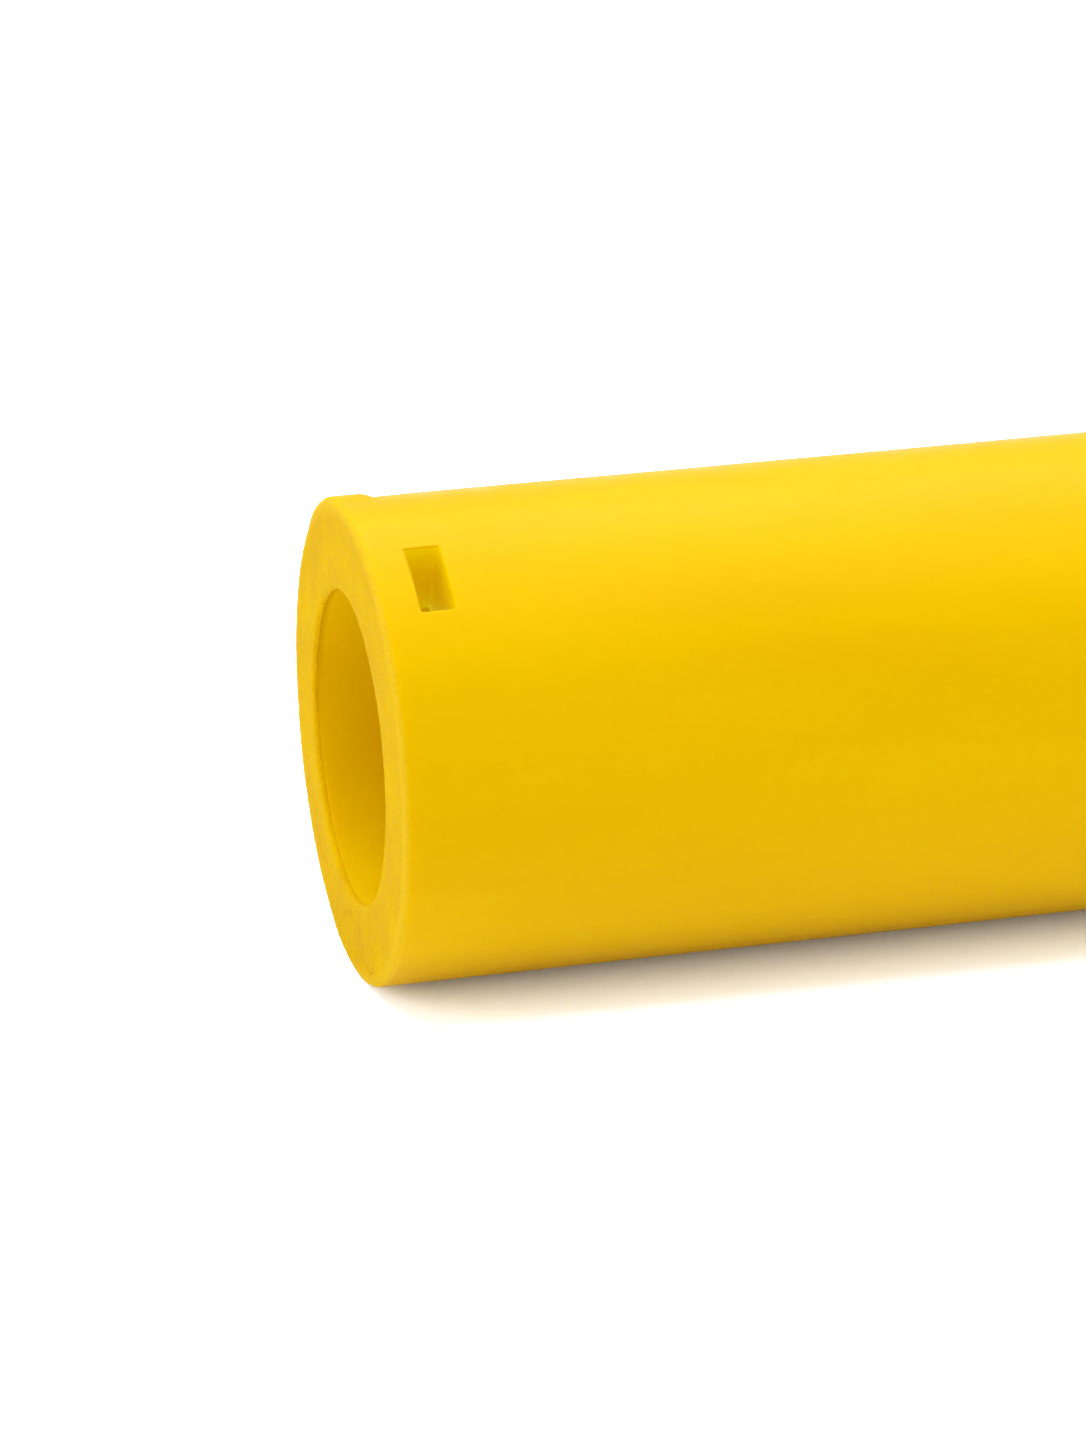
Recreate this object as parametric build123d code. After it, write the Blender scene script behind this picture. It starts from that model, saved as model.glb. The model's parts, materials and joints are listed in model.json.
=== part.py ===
from build123d import *
import math
import os

# A rescue tube: a thick-walled foam tube with a load strap along its bore. The strap holds a ring in
# the near mouth, and a towing ring and a swivel snap hook outside the far end.
# Millimetres. The tube lies along +X, the origin is the centre of its near end face, and +Z is up.

# Foam tube
tube_length = 1000.0
tube_radius = 75.0
bore_radius = 48.5
bore_lip = 2.0

# Slots for 25 mm strap through the wall: one pair at each end
slot_round = 25.0
slot_along = 10.4
slot_setback = 13.0
slot_angle = 27.5
slot_corner = 1.5

# Strap, and the stitching that holds its folds
strap_width = 25.0
strap_thick = 2.2
strap_z = -strap_thick / 2
strap_gap = 0.1
hump_radius = 1.8
hump_gap = 0.3
loop_length = 14.0
crotch_radius = 0.15
crotch_share = 0.7
overlap = 0.5
near_sewn = 42.0
far_sewn = 24.0
tow_sewn = 16.0
thread = 0.8
stitch_margin = 2.5

# Bulkheads that anchor the strap: a foam plug, a hard plate behind it and a three-bar slide
plug_thick = 30.0
near_plug_x = 120.0
far_plug_x = tube_length - 60.0
plate_radius = 40.0
plate_thick = 4.0
plate_edge = 1.2
slide_length = 27.0
slide_width = 37.0
slide_thick = 3.5
slide_bar = 5.0
slide_slot = 6.2
slide_corner = 4.0
slide_slot_corner = 1.2
slide_edge = 0.8
strap_opening = (28.0, 5.0)
opening_corner = 1.5

# Rings
wire = 5.0
ring_width = 33.0
ring_height = 24.0
ring_corner = 3.5
ring_bow = 12.0
near_ring_x = 52.0
tow_ring_x = tube_length + 33.0
tow_ring_tilt = 26.0

# Lead outside the far end: along the axis, down in two bends, and round the bar of the hook's eye
bend_radius = 45.0
bend_angle = 50.0
first_bend_x = tube_length + 47.0
eye_x = tube_length + 165.0
eye_z = -68.0

# Swivel snap hook, measured from the bar of its eye
eye_half = 18.0
eye_neck_x = 24.0
eye_neck_half = 7.5
boss_start = 19.0
boss_end = 29.0
boss_radius = 6.5
boss_edge = 1.0
head_radius = 5.0
head_edge = 1.8
head_thick = 3.8
stem_radius = 3.0
stem_play = 0.06
end_play = 0.1
washer_thick = 0.8
collar_radius = 5.7
collar_end = 34.0
hook_wire = 7.0
hook_heel_x = 37.0
heel_radius = 6.4
heel_run = 10.0
heel_bend = 9.0
hook_half = 13.5
hook_bend = hook_half - 0.1
hook_crown_x = 83.5

# Gate of the hook: a fork on a pin through the hook's lug, with a lapped nose
gate_pivot_x = 43.0
nose_tip_x = 64.0
lap_length = 5.5
lap_gap = 0.3
lug_thick = 3.2
lug_root_radius = 5.5
knuckle_radius = 4.0
fork_thick = 6.2
fork_play = 0.2
fork_slot_end = gate_pivot_x + 5.4
fork_shoulder_x = gate_pivot_x + 9.0
gate_rod = 6.0
pin_radius = 1.5
pin_play = 0.05
pin_head = 0.8
spring_turns = 7
spring_length = 10.5
spring_radius = 1.1
spring_wire = 0.5
spring_bore = 1.5
spring_bore_length = 12.0

# How far a cutting tool reaches past what it cuts
past = 1.0


def rod(radius, start, end, y=0.0, z=0.0):
    """Cylinder along X."""
    bar = Cylinder(radius, end - start, align=(Align.CENTER, Align.CENTER, Align.MIN))
    return Pos(start, y, z) * Rot(0, 90, 0) * bar


def swept_wire(path, diameter):
    """Round wire along a path."""
    section = Plane(origin=path @ 0, z_dir=path % 0) * Circle(diameter / 2)
    return sweep(section, path=path)


# Foam tube


def slot_cutter(x, side):
    outline = RectangleRounded(slot_along, slot_round, slot_corner)
    cutter = extrude(outline, amount=tube_radius)
    return Pos(x, 0, 0) * Rot(side * slot_angle, 0, 0) * Pos(0, 0, bore_radius * 0.8) * cutter


def foam_body():
    body = rod(tube_radius, 0, tube_length) - rod(bore_radius, 0, tube_length)
    circles = body.edges().filter_by(GeomType.CIRCLE)
    lips = circles.filter_by(lambda edge: edge.radius < tube_radius - past)
    body = fillet(lips, bore_lip)
    near_slot = slot_setback + slot_along / 2
    for x in (near_slot, tube_length - near_slot):
        for side in (-1, 1):
            body -= slot_cutter(x, side)
    return body


# Bulkheads


def strap_cutter(x_start, length):
    outline = RectangleRounded(strap_opening[0], strap_opening[1], opening_corner)
    cutter = extrude(Plane.YZ * outline, amount=length + 2 * past)
    return Pos(x_start - past, 0, strap_z) * cutter


def plug(x_start):
    return rod(bore_radius, x_start, x_start + plug_thick) - strap_cutter(x_start, plug_thick)


def plate(x_start):
    disc = rod(plate_radius, x_start, x_start + plate_thick)
    disc = fillet(disc.edges().filter_by(GeomType.CIRCLE), plate_edge)
    return disc - strap_cutter(x_start, plate_thick)


def slide(x_middle):
    frame = RectangleRounded(slide_length, slide_width, slide_corner)
    window = RectangleRounded(slide_slot, slide_width - 2 * slide_bar, slide_slot_corner)
    for side in (-1, 1):
        offset_x = side * (slide_bar + slide_slot) / 2
        frame -= Pos(offset_x, 0) * window
    body = extrude(frame, amount=slide_thick)
    body = fillet(body.faces().filter_by(Axis.Z).edges(), slide_edge)
    return Pos(x_middle, 0, 0) * body


# Strap


def strap_loop(bar_x, bar_z, layer_z, away):
    """Side view of strap folded round a bar, running together into two layers on the away side."""
    inner_radius = wire / 2 + strap_gap
    outer_radius = inner_radius + strap_thick
    root_x = bar_x + away * loop_length
    ring = Pos(bar_x, bar_z) * Circle(outer_radius)
    root = Pos(root_x, layer_z) * Rectangle(overlap, 2 * strap_thick)
    hole = Pos(bar_x, bar_z) * Circle(inner_radius)
    tip = Pos(bar_x + away * loop_length * crotch_share, layer_z) * Circle(crotch_radius)
    outside = make_hull(ring.edges() + root.edges())
    inside = make_hull(hole.edges() + tip.edges())
    return outside - inside


def layers(x_from, x_to, z_middle, count=2):
    """Side view of flat strap, one or two layers thick."""
    return Pos((x_from + x_to) / 2, z_middle) * Rectangle(abs(x_to - x_from), count * strap_thick)


def woven(side_view):
    """Solid strap from its side view in the XZ plane."""
    return extrude(Plane.XZ * side_view, amount=strap_width / 2, both=True)


def slide_hump(x_middle):
    """Centre line of the strap as it passes over the middle bar of a slide."""
    over_z = slide_thick - strap_z + hump_gap
    foot = slide_bar / 2 + slide_slot * 0.8
    shoulder = slide_bar / 2 + slide_slot * 0.18
    return [
        (x_middle - foot, strap_z),
        (x_middle - shoulder, over_z),
        (x_middle + shoulder, over_z),
        (x_middle + foot, strap_z),
    ]


near_slide_x = near_plug_x + plug_thick + plate_thick + slide_length / 2
far_slide_x = far_plug_x - plate_thick - slide_length / 2
lead_z = eye_z - strap_thick / 2
second_bend_x = first_bend_x + (strap_z - lead_z) / math.tan(math.radians(bend_angle))
near_sewn_start = near_ring_x + loop_length
far_sewn_end = eye_x - loop_length


def load_webbing():
    route = [(near_sewn_start, strap_z)]
    route += slide_hump(near_slide_x)
    route += slide_hump(far_slide_x)
    route += [(first_bend_x, strap_z), (second_bend_x, lead_z), (far_sewn_end, lead_z)]
    radii = [hump_radius] * 8 + [bend_radius] * 2
    middle_line = FilletPolyline(route, radius=radii)
    view = trace(middle_line, strap_thick)
    view += strap_loop(near_ring_x, 0, 0, 1)
    view += layers(near_sewn_start, near_sewn_start + near_sewn, 0)
    view += strap_loop(eye_x, eye_z, eye_z, -1)
    view += layers(far_sewn_end - far_sewn, far_sewn_end, eye_z)
    return woven(view)


def tow_ring_z():
    return wire / 2 + 2 * strap_gap + strap_thick


def tow_loop():
    view = strap_loop(tow_ring_x, tow_ring_z(), strap_thick, -1)
    root_x = tow_ring_x - loop_length
    view += layers(root_x - tow_sewn, root_x, strap_thick)
    return woven(view)


def box_stitch(x_from, x_to, faces):
    """Thread in a box with a cross, lying on the strap faces given as (z, direction) pairs."""
    half_length = abs(x_to - x_from) / 2 - stitch_margin
    half_width = strap_width / 2 - stitch_margin
    middle = (x_from + x_to) / 2
    outline = Rectangle(2 * half_length, 2 * half_width)
    outline -= Rectangle(2 * half_length - 2 * thread, 2 * half_width - 2 * thread)
    diagonal = 2 * math.hypot(half_length, half_width) - 2 * thread
    angle = math.degrees(math.atan2(half_width, half_length))
    for turn in (-angle, angle):
        outline += Rot(0, 0, turn) * Rectangle(diagonal, thread)
    stitches = [Pos(middle, 0, z) * extrude(outline, amount=way * thread / 2) for z, way in faces]
    return Compound(children=stitches)


# Rings


def d_ring():
    """D-ring with its bar along Y through the origin and its bow hanging down."""
    half = ring_width / 2
    corners = [(-half, 0), (half, 0), (half, -ring_height), (-half, -ring_height)]
    radii = [ring_corner, ring_corner, ring_bow, ring_bow]
    outline = Plane.YZ * FilletPolyline(corners, radius=radii, close=True)
    return swept_wire(outline, wire)


# Swivel snap hook, with the bar of its eye along Y through the origin and the hook along +X


def swivel_eye():
    neck = eye_neck_half
    corners = [(0, -eye_half), (0, eye_half), (eye_neck_x, neck), (eye_neck_x, -neck)]
    loop = swept_wire(FilletPolyline(corners, radius=[ring_corner] * 4, close=True), wire)
    boss = rod(boss_radius, boss_start, boss_end)
    boss = fillet(boss.edges().filter_by(GeomType.CIRCLE), boss_edge)
    return loop + boss - rod(stem_radius + stem_play, boss_start - wire, boss_end + past)


def swivel_washer():
    start = boss_end + end_play
    end = start + washer_thick
    return rod(collar_radius, start, end) - rod(stem_radius, start - past, end + past)


def gate_lug():
    root = Pos(hook_heel_x, 0) * Circle(lug_root_radius)
    knuckle = Pos(gate_pivot_x, hook_half) * Circle(knuckle_radius)
    return extrude(make_hull(root.edges() + knuckle.edges()), amount=lug_thick / 2, both=True)


def gate_hole(radius):
    return Pos(gate_pivot_x, hook_half, 0) * Cylinder(radius, fork_thick + 2 * past)


def hook_body():
    head_end = boss_start - 2 * end_play
    head = rod(head_radius, head_end - head_thick, head_end)
    head = fillet(head.edges().sort_by(Axis.X)[0], head_edge)
    stem = rod(stem_radius, head_end - past, hook_heel_x)
    collar = rod(collar_radius, boss_end + end_play + washer_thick, collar_end)
    heel = Pos(hook_heel_x, 0, 0) * Sphere(heel_radius)
    route = [
        (hook_heel_x, 0),
        (hook_heel_x + heel_run, -hook_half),
        (hook_crown_x, -hook_half),
        (hook_crown_x, hook_half),
        (nose_tip_x, hook_half),
    ]
    frame = swept_wire(FilletPolyline(route, radius=[heel_bend, hook_bend, hook_bend]), hook_wire)
    lap = Box(lap_length + past, hook_wire, 2 * hook_wire, align=(Align.MIN, Align.MAX, Align.CENTER))
    frame -= Pos(nose_tip_x - past, hook_half + lap_gap / 2, 0) * lap
    body = head + stem + collar + heel + frame + gate_lug()
    return body - gate_hole(pin_radius + pin_play)


def hook_gate():
    knuckle = Pos(gate_pivot_x, hook_half) * Circle(knuckle_radius)
    shoulder = Pos(fork_shoulder_x, hook_half) * Rectangle(past, gate_rod)
    fork = extrude(make_hull(knuckle.edges() + shoulder.edges()), amount=fork_thick / 2, both=True)
    slot = Box(
        4 * knuckle_radius,
        4 * knuckle_radius,
        lug_thick + fork_play,
        align=(Align.MAX, Align.CENTER, Align.CENTER),
    )
    fork -= Pos(fork_slot_end, hook_half, 0) * slot
    gate = fork + rod(gate_rod / 2, fork_slot_end, nose_tip_x + lap_length - lap_gap, hook_half)
    lap = Box(2 * gate_rod, gate_rod, 2 * gate_rod, align=(Align.MIN, Align.MIN, Align.CENTER))
    gate -= Pos(nose_tip_x - lap_gap, hook_half - lap_gap / 2, 0) * lap
    gate -= rod(spring_bore, fork_slot_end - past, fork_slot_end + spring_bore_length, hook_half)
    return gate - gate_hole(pin_radius)


def gate_pin():
    pin = Cylinder(pin_radius, fork_thick)
    for side in (-1, 1):
        head = Cylinder(pin_radius + pin_head, pin_head)
        pin += Pos(0, 0, side * (fork_thick + pin_head) / 2) * head
    return Pos(gate_pivot_x, hook_half, 0) * pin


def gate_spring():
    """Compression spring in the bore of the gate, bearing on the lug."""
    coil = Helix(spring_length / spring_turns, spring_length, spring_radius)
    spring = swept_wire(coil, spring_wire)
    return Pos(fork_slot_end + spring_wire, hook_half, 0) * Rot(0, 90, 0) * spring


def build():
    hook_place = Pos(eye_x, 0, eye_z)
    near_layers = (near_sewn_start, near_sewn_start + near_sewn)
    far_layers = (far_sewn_end - far_sewn, far_sewn_end)
    tow_layers = (tow_ring_x - loop_length - tow_sewn, tow_ring_x - loop_length)
    both_near = [(strap_thick, 1), (-strap_thick, -1)]
    both_far = [(eye_z + strap_thick, 1), (eye_z - strap_thick, -1)]
    both_tow = [(2 * strap_thick, 1), (-strap_thick, -1)]
    return {
        "foam_body": foam_body(),
        "near_plug": plug(near_plug_x),
        "near_plate": plate(near_plug_x + plug_thick),
        "near_slide": slide(near_slide_x),
        "near_ring": Pos(near_ring_x, 0, 0) * d_ring(),
        "near_stitching": box_stitch(*near_layers, both_near),
        "load_webbing": load_webbing(),
        "far_plug": plug(far_plug_x),
        "far_plate": plate(far_plug_x - plate_thick),
        "far_slide": slide(far_slide_x),
        "far_stitching": box_stitch(*far_layers, both_far),
        "tow_loop": tow_loop(),
        "tow_stitching": box_stitch(*tow_layers, both_tow),
        "tow_ring": Pos(tow_ring_x, 0, tow_ring_z()) * Rot(0, tow_ring_tilt - 90, 0) * d_ring(),
        "swivel_eye": hook_place * swivel_eye(),
        "swivel_washer": hook_place * swivel_washer(),
        "hook_body": hook_place * hook_body(),
        "hook_gate": hook_place * hook_gate(),
        "gate_pin": hook_place * gate_pin(),
        "gate_spring": hook_place * gate_spring(),
    }


os.makedirs("parts", exist_ok=True)
for name, shape in build().items():
    export_step(shape, f"parts/{name}.step")
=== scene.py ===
import json
import math

import bmesh
import bpy
import numpy as np
from mathutils import Matrix, Vector, noise


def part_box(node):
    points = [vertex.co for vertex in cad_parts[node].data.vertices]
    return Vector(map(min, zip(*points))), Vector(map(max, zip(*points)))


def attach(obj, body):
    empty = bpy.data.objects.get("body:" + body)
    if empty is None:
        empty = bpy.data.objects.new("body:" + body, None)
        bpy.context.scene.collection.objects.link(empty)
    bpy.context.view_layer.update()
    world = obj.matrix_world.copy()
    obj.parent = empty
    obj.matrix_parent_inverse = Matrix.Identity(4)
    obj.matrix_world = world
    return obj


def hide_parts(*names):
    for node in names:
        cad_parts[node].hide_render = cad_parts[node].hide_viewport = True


# Rescue tube, in metres: the foam tube, its plugs and its straps are built here around the packed
# frame, and the rings, slides, plates and snap hook are the frame's own, with better materials.

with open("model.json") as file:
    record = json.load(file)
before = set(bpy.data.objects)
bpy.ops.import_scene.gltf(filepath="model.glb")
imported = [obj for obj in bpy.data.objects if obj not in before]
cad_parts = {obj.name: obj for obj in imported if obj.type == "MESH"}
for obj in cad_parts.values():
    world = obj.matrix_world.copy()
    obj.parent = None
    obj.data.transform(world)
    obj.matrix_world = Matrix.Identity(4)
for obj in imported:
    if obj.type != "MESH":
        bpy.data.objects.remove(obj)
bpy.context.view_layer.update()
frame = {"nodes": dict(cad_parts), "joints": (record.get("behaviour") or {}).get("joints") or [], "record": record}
nodes = frame["nodes"]
record = frame["record"]
joints = {joint["name"]: joint for joint in frame["joints"]}
mounts = {mount["name"]: mount for mount in record["mounts"]}

# Foam tube
EDGE_ROUND = 0.0022
LIP_ROUND = 0.0018
SLOT_ROUND = 0.025
SLOT_ALONG = 0.0104
SLOT_CORNER = 0.0006
SLOT_COLUMNS = 16
RIM_ROUND = 0.0009
BORE_DROP = 0.0011
BORE_DROP_START, BORE_DROP_END = 0.03, 0.1
LIGAMENT_RISE = 0.0012
LIGAMENT_FADE_START, LIGAMENT_FADE_END = 10, 20
COLUMNS_OVER_TOP, COLUMNS_UNDER = 26, 222
SLOT_WALL_STEPS = 8

# Relief of the foam: waves and ripples in the skin, and unevenness and cells in the cut ends
SKIN_SINK = 0.0003
WAVE_HEIGHT = 0.00022
RIPPLE_HEIGHT = 0.00005
CUT_HEIGHT = 0.0003
CELL_HEIGHT = 0.00022

# Strap
STRAP_WIDTH = 0.025
STRAP_THICK = 0.0022
RIB_PITCH = STRAP_WIDTH / 12
WEAVE_RISE = 0.00025
FLOAT_LENGTH = 0.0042
YARN_STEP = 0.0007
HIDDEN_STEP = 0.008
SELVEDGE = 0.0009
YARN_SINK = 0.00008
FOLD_RADIUS = 0.0037
FOLD_ROOT = 0.014
FOLD_STEPS = 40
NEAR_SEWN, FAR_SEWN, TOW_SEWN = 0.042, 0.024, 0.016

# Lead: where it turns down outside the far end, how steeply, and the radius of its bends
LEAD_TURN = 0.047
LEAD_SLOPE = 50
LEAD_BEND = 0.045

# Three-bar slide: its middle bar and openings, and how the strap rides over the bar
SLIDE_BAR = 0.005
SLIDE_OPENING = 0.0062
HUMP_GAP = 0.0003
HUMP_BEND = 0.0018

# Stitches
THREAD_RADIUS = 0.00038
STITCH_PITCH = 0.0027
STITCH_GAP = 0.06
STITCH_SECTIONS, STITCH_SIDES = 7, 8

# Floor colours: for the light that it throws back, and for the camera.
FLOOR_PALE = (0.95, 0.95, 0.95, 1)
FLOOR_SEEN = (2.4, 2.5, 2.6)
# Painted shadow colour: beside the foam the camera sees a bluer floor, which cancels the yellow light that the
# foam throws into its shadow.
FLOOR_BESIDE_FOAM = (2.15, 2.85, 4.9)

# Brightness of the surround: as a light, and for the camera
SURROUND, SURROUND_SEEN = 0.31, 1.0

# How far red, green and blue light soaks into the foam
SKIN_SOAK = (0.007, 0.004, 0.0006)
SLOT_SOAK = (0.05, 0.05, 0.001)


# Node materials


class Shader:
    """A material with a Principled BSDF and short ways to add nodes to it."""

    def __init__(self, name, **sockets):
        self.material = bpy.data.materials.new(name)
        self.material.use_nodes = True
        self.tree = self.material.node_tree
        self.surface = self.tree.nodes["Principled BSDF"]
        self.place = self.add("ShaderNodeTexCoord").outputs["Object"]
        for socket, value in sockets.items():
            self.surface.inputs[socket.replace("_", " ")].default_value = value

    def add(self, kind, links=(), **values):
        node = self.tree.nodes.new(kind)
        for key, value in values.items():
            setattr(node, key, value)
        for socket, source in dict(links).items():
            if hasattr(source, "is_output"):
                self.tree.links.new(source, node.inputs[socket])
            else:
                node.inputs[socket].default_value = source
        return node

    def stretched(self, scale):
        return self.add("ShaderNodeMapping", {"Vector": self.place, "Scale": scale}).outputs[0]

    def noise(self, scale, detail=3.0, vector=None):
        links = {"Vector": vector or self.place, "Scale": scale, "Detail": detail}
        return self.add("ShaderNodeTexNoise", links).outputs["Fac"]

    def cells(self, scale, feature="F1", vector=None):
        links = {"Vector": vector or self.place, "Scale": scale}
        return self.add("ShaderNodeTexVoronoi", links, feature=feature).outputs["Distance"]

    def ramp(self, factor, low, high, start=0.35, end=0.65):
        node = self.add("ShaderNodeValToRGB", {"Fac": factor})
        node.color_ramp.elements[0].position = start
        node.color_ramp.elements[1].position = end
        node.color_ramp.elements[0].color = (*low, 1)
        node.color_ramp.elements[1].color = (*high, 1)
        return node.outputs["Color"]

    def span(self, factor, low, high, start=0.3, end=0.7):
        links = {"Value": factor, "From Min": start, "From Max": end, "To Min": low, "To Max": high}
        return self.add("ShaderNodeMapRange", links).outputs["Result"]

    def mix(self, factor, first, second, blend="MIX"):
        node = self.add("ShaderNodeMix", {"Factor": factor}, data_type="RGBA", blend_type=blend)
        for index, value in ((6, first), (7, second)):
            if hasattr(value, "is_output"):
                self.tree.links.new(value, node.inputs[index])
            else:
                node.inputs[index].default_value = (*value, 1)
        return node.outputs[2]

    def bump(self, *layers):
        """Bump layers as (height, strength, distance), one on top of another."""
        normal = None
        for height, strength, distance in layers:
            links = {"Height": height, "Strength": strength, "Distance": distance}
            if normal:
                links["Normal"] = normal
            normal = self.add("ShaderNodeBump", links).outputs["Normal"]
        self.tree.links.new(normal, self.surface.inputs["Normal"])

    def link(self, socket, source):
        self.tree.links.new(source, self.surface.inputs[socket])


def yellow_foam(name, deep, bright, cloud, grain, streaks, rough, shine, glow, soak):
    """Closed-cell foam that light soaks into, with faint clouds, streaks and cells."""
    shader = Shader(name, Subsurface_Weight=glow, Subsurface_Scale=1.0, Specular_IOR_Level=shine)
    shader.surface.inputs["Subsurface Radius"].default_value = soak
    shader.surface.inputs["Specular Tint"].default_value = (1.0, 0.82, 0.08, 1)
    clouds = shader.noise(1.0, 5, shader.stretched(cloud))
    colour = shader.ramp(clouds, deep, bright, 0.32, 0.68)
    specks = shader.noise(420, 2)
    darker = tuple(0.88 * c for c in deep)
    colour = shader.mix(shader.span(specks, 0.0, 0.4 * grain, 0.45, 0.8), colour, darker)
    shader.link("Base Color", colour)
    shader.link("Roughness", shader.span(shader.noise(60, 3), rough - 0.05, rough + 0.06))
    lengthwise = shader.noise(1.0, 4, shader.stretched((7, 420, 420)))
    shader.bump(
        (lengthwise, streaks, 0.0004),
        (shader.cells(500), grain, 0.0005),
        (shader.noise(1100, 2), 0.6 * grain, 0.0004),
    )
    return shader


def add_nicks(shader):
    """Short torn lines in the near cut face, low down."""
    axes = shader.add("ShaderNodeSeparateXYZ", {"Vector": shader.place})
    lines = shader.span(shader.noise(38, 2), -1.0, 1.0, 0.0, 1.0)
    lines = shader.add("ShaderNodeMath", {0: lines}, operation="ABSOLUTE").outputs[0]
    lines = shader.span(lines, 1.0, 0.0, 0.0, 0.035)
    some = shader.span(shader.noise(75, 1), 0.0, 0.6, 0.48, 0.55)
    low_down = shader.span(axes.outputs["Z"], 1.0, 0.0, -0.055, -0.045)
    near_end = shader.span(axes.outputs["X"], 1.0, 0.0, 0.1, 0.2)
    for mask in (some, low_down, near_end):
        lines = shader.add("ShaderNodeMath", {0: lines, 1: mask}, operation="MULTIPLY").outputs[0]
    colour = shader.surface.inputs["Base Color"].links[0].from_socket
    shader.link("Base Color", shader.mix(lines, colour, (0.62, 0.28, 0.0)))


def paint_light_by_radius(shader, start, end, shade):
    """Paints light into the foam's colour, changing it from one distance to another from the tube's axis."""
    axes = shader.add("ShaderNodeSeparateXYZ", {"Vector": shader.place})
    across = shader.add("ShaderNodeCombineXYZ", {"Y": axes.outputs["Y"], "Z": axes.outputs["Z"]})
    radius = shader.add("ShaderNodeVectorMath", {0: across.outputs[0]}, operation="LENGTH").outputs["Value"]
    colour = shader.surface.inputs["Base Color"].links[0].from_socket
    shader.link("Base Color", shader.mix(shader.span(radius, 0.0, 1.0, start, end), colour, shade))


def dark_foam():
    shader = Shader("plug_foam_material", Roughness=0.9, Specular_IOR_Level=0.25)
    shader.link("Base Color", shader.ramp(shader.noise(700, 3), (0.02, 0.02, 0.022), (0.06, 0.06, 0.064)))
    shader.bump((shader.cells(900), 0.6, 0.0005), (shader.noise(2500, 2), 0.4, 0.0002))
    return shader.material


def sheet_plastic():
    shader = Shader("plate_material", Roughness=0.38, Subsurface_Weight=0.1)
    shader.surface.inputs["Subsurface Radius"].default_value = (0.002, 0.002, 0.002)
    shader.link("Base Color", shader.ramp(shader.noise(90, 5), (0.56, 0.57, 0.56), (0.66, 0.67, 0.66)))
    shader.link("Roughness", shader.span(shader.noise(300, 4), 0.32, 0.5))
    shader.bump((shader.noise(900, 3), 0.15, 0.0002))
    return shader.material


def moulded_plastic(name, deep, bright, rough):
    shader = Shader(name, Roughness=rough)
    shader.link("Base Color", shader.ramp(shader.noise(150, 3), deep, bright))
    shader.link("Roughness", shader.span(shader.noise(500, 3), rough - 0.06, rough + 0.08))
    shader.bump((shader.cells(2600), 0.25, 0.0001), (shader.noise(90, 2), 0.1, 0.0003))
    return shader.material


def strap_fabric():
    shader = Shader("webbing_material", Roughness=0.62, Sheen_Weight=0.3, Sheen_Roughness=0.45)
    fibres = shader.noise(1.0, 2, shader.stretched((500, 3200, 3200)))
    worn = shader.noise(45, 4)
    # Painted shade: each yarn is coloured by its height in the weave, darker where it lies low in a hollow and
    # lighter where it rides high.
    raised = shader.add("ShaderNodeAttribute", attribute_name="raised").outputs["Fac"]
    colour = shader.ramp(raised, (0.004, 0.004, 0.005), (0.045, 0.045, 0.05), 0.15, 0.85)
    colour = shader.mix(shader.span(fibres, 0.0, 0.5), colour, (0.016, 0.016, 0.018))
    colour = shader.mix(shader.span(worn, 0.0, 0.3, 0.55, 0.8), colour, (0.055, 0.055, 0.058))
    shader.link("Base Color", colour)
    shader.link("Roughness", shader.span(worn, 0.55, 0.72))
    shader.bump((fibres, 0.2, 0.0001))
    return shader.material


def thread_material():
    shader = Shader("thread_material", Roughness=0.5, Sheen_Weight=0.2)
    links = {"Vector": shader.place, "Scale": 700.0}
    twist = shader.add("ShaderNodeTexWave", links, bands_direction="DIAGONAL").outputs["Fac"]
    shader.link("Base Color", shader.ramp(twist, (0.035, 0.035, 0.038), (0.10, 0.10, 0.105)))
    shader.bump((twist, 0.5, 0.0001))
    return shader.material


def stainless(name, tint, rough, grain):
    """Stainless steel with a polishing grain, dull patches and fine scratches."""
    shader = Shader(name, Metallic=1.0)
    patches = shader.noise(70, 5)
    dull = tuple(0.8 * c for c in tint)
    shader.link("Base Color", shader.ramp(patches, dull, tint, 0.3, 0.65))
    scratches = shader.noise(1.0, 5, shader.stretched(grain))
    shader.link("Roughness", shader.span(shader.noise(220, 5), rough - 0.05, rough + 0.1))
    shader.bump((scratches, 0.12, 0.0001), (shader.noise(500, 2), 0.08, 0.0002))
    return shader.material


# Mesh helpers


def new_piece(name, mesh, body, materials):
    """An object that rides on a body of the frame, with its materials in order."""
    piece = bpy.data.objects.new(name, mesh)
    bpy.context.scene.collection.objects.link(piece)
    for material in materials:
        mesh.materials.append(material)
    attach(piece, body)
    return piece


def mesh_from(name, vertices, faces):
    mesh = bpy.data.meshes.new(name)
    mesh.from_pydata([tuple(v) for v in vertices], [], faces)
    mesh.validate()
    mesh.polygons.foreach_set("use_smooth", [True] * len(mesh.polygons))
    mesh.update()
    return mesh


def wrapped_faces(rows, columns, keep=None):
    """Quads of a grid that closes on itself both ways."""
    faces = []
    for i in range(rows):
        below = (i + 1) % rows
        for j in range(columns):
            beside = (j + 1) % columns
            if keep is None or keep(i, j):
                corners = (i, j), (below, j), (below, beside), (i, beside)
                faces.append(tuple(a * columns + b for a, b in corners))
    return faces


def spread(start, end, step):
    """Evenly spaced values from start up to but not including end."""
    count = max(1, round(abs(end - start) / step))
    return [start + (end - start) * k / count for k in range(count)]


def arc(centre, radius, start, end, count):
    """Points of an arc, its last one left out. Angles in degrees from the first axis."""
    angles = [math.radians(start + (end - start) * k / count) for k in range(count)]
    return [(centre[0] + radius * math.cos(a), centre[1] + radius * math.sin(a)) for a in angles]


def clamped(value, limit):
    return min(limit, max(-limit, value))


def smooth_step(value, start, end):
    t = min(1.0, max(0.0, (value - start) / (end - start)))
    return t * t * (3 - 2 * t)


# Foam tube

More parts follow.
